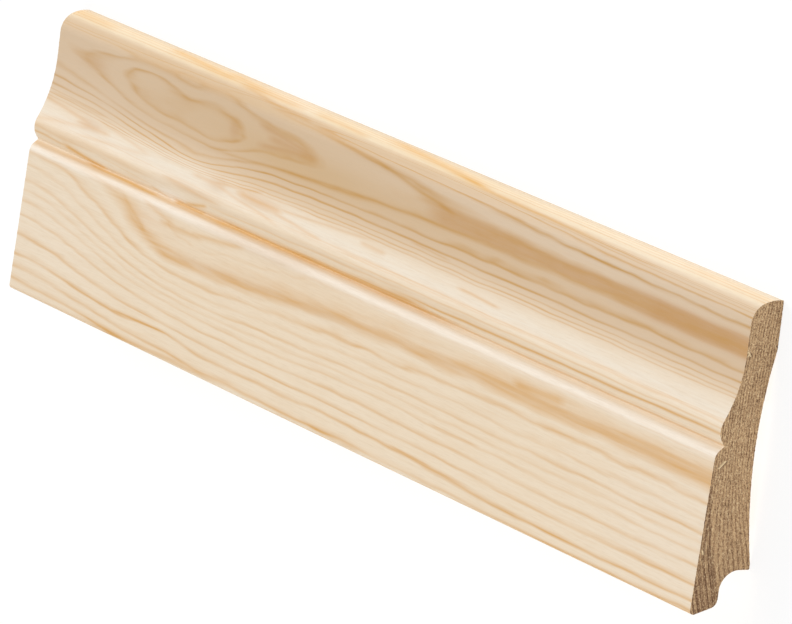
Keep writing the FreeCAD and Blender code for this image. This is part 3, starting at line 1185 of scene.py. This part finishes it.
    def tear_ends(self, mesh: bpy.types.Mesh) -> None:
        """Push the sawn ends in, most where the saw tore the soft earlywood.

        Args:
            mesh: The board's mesh.
        """
        places = read(mesh.vertices, "co", 3)
        half = self.length / 2
        for side in (-1, 1):
            at_end = np.flatnonzero(np.abs(places[:, 0] / MM - side * half) < self.slack)
            across, out = places[at_end, 1] / MM, places[at_end, 2] / MM
            late = self.tree.latewood(self.tree.growth(side * half, across, out))
            fuzz = np.array([self.fuzz(side, y, z) for y, z in zip(across, out)])
            depth = self.tear_depth * held(self.tear_level - self.late_spared * late + fuzz)
            if side > 0:
                depth *= 1.0 - held(sum(s.share(across, out) for s in SawnPine.splinters))
            places[at_end, 0] -= side * depth * MM
        mesh.vertices.foreach_set("co", places.ravel())
        mesh.update()

    def fuzz(self, side: int, across: float, out: float) -> float:
        """Measure the unevenness that the saw leaves at a point of an end.

        Args:
            side: The end, -1 for the far one and 1 for the near one.
            across: The point's place across the board, in millimetres.
            out: Its height out of the back, in millimetres.

        Returns:
            The unevenness, as a share of the depth of the tears.
        """
        torn = sum(tear.height(side, self.seed, across, out) for tear in self.tears)
        sway = self.kerf_sway.height(side, 0, across, out)
        kerf = math.sin(across * self.kerf_across + out * self.kerf_out + sway)
        return torn + self.kerf_strength * kerf

    def dress(self, piece: bpy.types.Object) -> None:
        """Give the planed sides and the sawn ends their finishes.

        Args:
            piece: The board.
        """
        mesh = piece.data
        for finish in (PlanedPine(self.tree), SawnPine(self.tree)):
            mesh.materials.append(finish.material())
        reach = np.abs(read(mesh.polygons, "center", 3)[:, 0]) / MM
        facing = np.abs(read(mesh.polygons, "normal", 3)[:, 0])
        at_end = (facing > self.end_facing) & (reach > self.length / 2 - self.end_reach)
        surfaces = np.where(at_end, Surface.SAWN.value, Surface.PLANED.value)
        mesh.polygons.foreach_set("material_index", surfaces)
        mesh.update()

    def build(self) -> bpy.types.Object:
        """Make the board, dress it and put it in place of the plain solid.

        Returns:
            The finished board.
        """
        half = self.width / 2
        start = (half, self.arris_radius)
        pen = Pen("pine_skirting_length", start, -self.length / 2)
        self.draw_face(pen)
        self.draw_back(pen)
        piece = pen.close()
        self.grid_section()
        self.run_length()
        bpy.ops.object.transform_apply(location=True, rotation=True, scale=True)
        self.tear_ends(piece.data)
        bpy.ops.object.shade_smooth_by_angle(angle=self.crease)
        self.dress(piece)
        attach(piece, BODY)
        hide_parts(NODE)
        log.info("%s: %d faces", piece.name, len(piece.data.polygons))
        return piece


def read(parts: Any, field: str, width: int, kind: type = np.float32) -> np.ndarray:
    """Read one field of a mesh's vertices, edges or polygons.

    Args:
        parts: The vertices, edges or polygons.
        field: The name of the field.
        width: How many numbers it has.
        kind: The kind of its numbers.

    Returns:
        One row for each part.
    """
    flat = np.zeros(len(parts) * width, kind)
    parts.foreach_get(field, flat)
    return flat.reshape(-1, width)


@dataclass(frozen=True)
class Lamp:
    """A soft square lamp that faces the board.

    Its level is the light that it gives a surface that faces it, where 1 shows a
    colour as it is. Its place and the side of its square are in metres.
    """

    name: str
    place: Vector
    size: float
    level: float

    def hang(self, aim: Vector) -> None:
        """Hang the lamp.

        Args:
            aim: The point that it faces, in metres.
        """
        away = self.place - aim
        bpy.ops.object.select_all(action="DESELECT")
        bpy.ops.object.light_add(type="AREA", location=self.place)
        lamp = bpy.context.object
        lamp.name = self.name
        lamp.rotation_euler = away.to_track_quat("Z", "Y").to_euler()
        lamp.data.size = self.size
        # A small square lamp of P watts gives P / (pi * distance ** 2) straight ahead.
        lamp.data.energy = self.level * math.pi * math.pi * away.length_squared


@dataclass
class Studio:
    """The floor, the soft lamps, the pale world and the camera."""

    # The camera sees the floor's grey and glow. The board is lit by its bounce and light.
    floor_size: float = 30.0
    floor_grey: float = 0.25
    floor_glow: float = 0.80
    floor_bounce: float = 0.80
    floor_light: float = 0.85
    world_strength: float = 0.50
    aim: Vector = Vector((0.0, 0.0, 0.009))
    lamps: tuple[Lamp, ...] = (
        Lamp("key_lamp", Vector((-10.0, 4.2, 5.2)), 6.0, 0.60),
        Lamp("front_lamp", Vector((0.70, -1.30, 1.66)), 1.3, 0.25),
    )

    # the camera that the photograph was taken with, with its axes in the frame
    eye: Vector = Vector((2.35372, 0.54216, 1.45982))
    right: Vector = Vector((0.50352, 0.11781, -0.85591))
    up: Vector = Vector((-0.22706, 0.97388, 0.00047))
    focal_pixels: float = 8990.7
    picture_width: float = 792.0
    sensor: float = 36.0
    farthest_seen: float = 100.0

    def lay_floor(self) -> None:
        """Lay a floor that a camera sees as white, with the board's shadow."""
        bpy.ops.object.select_all(action="DESELECT")
        bpy.ops.mesh.primitive_plane_add(size=self.floor_size)
        floor = bpy.context.object
        floor.name = "studio_floor"
        bench = Bench("pale_floor")
        seen = bench.node("ShaderNodeLightPath")
        shade = bench.node("ShaderNodeBsdfDiffuse", sockets={"Color": grey(self.floor_grey)})
        bounce = bench.node("ShaderNodeBsdfDiffuse", sockets={"Color": grey(self.floor_bounce)})
        white = grey(1.0)
        glow = bench.node("ShaderNodeEmission", sockets={"Color": white, "Strength": self.floor_glow})
        light = bench.node("ShaderNodeEmission", sockets={"Color": white, "Strength": self.floor_light})
        lit = bench.node("ShaderNodeAddShader", sockets={0: shade.outputs[0], 1: glow.outputs[0]})
        lighting = bench.node("ShaderNodeAddShader", sockets={0: bounce.outputs[0], 1: light.outputs[0]})
        rays = ("Is Camera Ray", "Is Glossy Ray", "Is Transmission Ray")
        direct = sum(Value(bench, seen.outputs[ray]) for ray in rays).held()
        both = bench.node("ShaderNodeMixShader", sockets={
            0: direct, 1: lighting.outputs[0], 2: lit.outputs[0]})
        floor.data.materials.append(bench.close(both.outputs[0]))

    def light(self) -> None:
        """Hang the lamps and set the level of the world."""
        for lamp in self.lamps:
            lamp.hang(self.aim)
        world = bpy.data.worlds.new("studio_world")
        bpy.context.scene.world = world
        world.use_nodes = True
        backdrop = world.node_tree.nodes["Background"]
        backdrop.inputs[0].default_value = grey(1.0)
        backdrop.inputs[1].default_value = self.world_strength

    def set_camera(self) -> None:
        """Put the camera where the photograph was taken from."""
        back = self.right.cross(self.up)
        axes = Matrix((self.right, self.up, back)).transposed().to_4x4()
        bpy.ops.object.camera_add()
        camera = bpy.context.object
        camera.matrix_world = Matrix.Translation(self.eye) @ axes
        camera.data.sensor_width = self.sensor
        camera.data.lens = self.focal_pixels * self.sensor / self.picture_width
        camera.data.clip_end = self.farthest_seen
        bpy.context.scene.camera = camera

    def build(self) -> None:
        """Set the studio up."""
        self.lay_floor()
        self.light()
        self.set_camera()
        bpy.context.scene.view_settings.view_transform = "Standard"
        log.info("studio: floor, lamps, world and camera")


def main() -> None:
    """Build the board and its studio, to the size of the plain solid's box."""
    logging.basicConfig(level=logging.INFO, format="%(message)s")
    low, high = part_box(NODE)
    length, width, thickness = (high - low) / MM
    Studio().build()
    Board(Tree(), length, width, thickness).build()


if __name__ == "__main__":
    main()
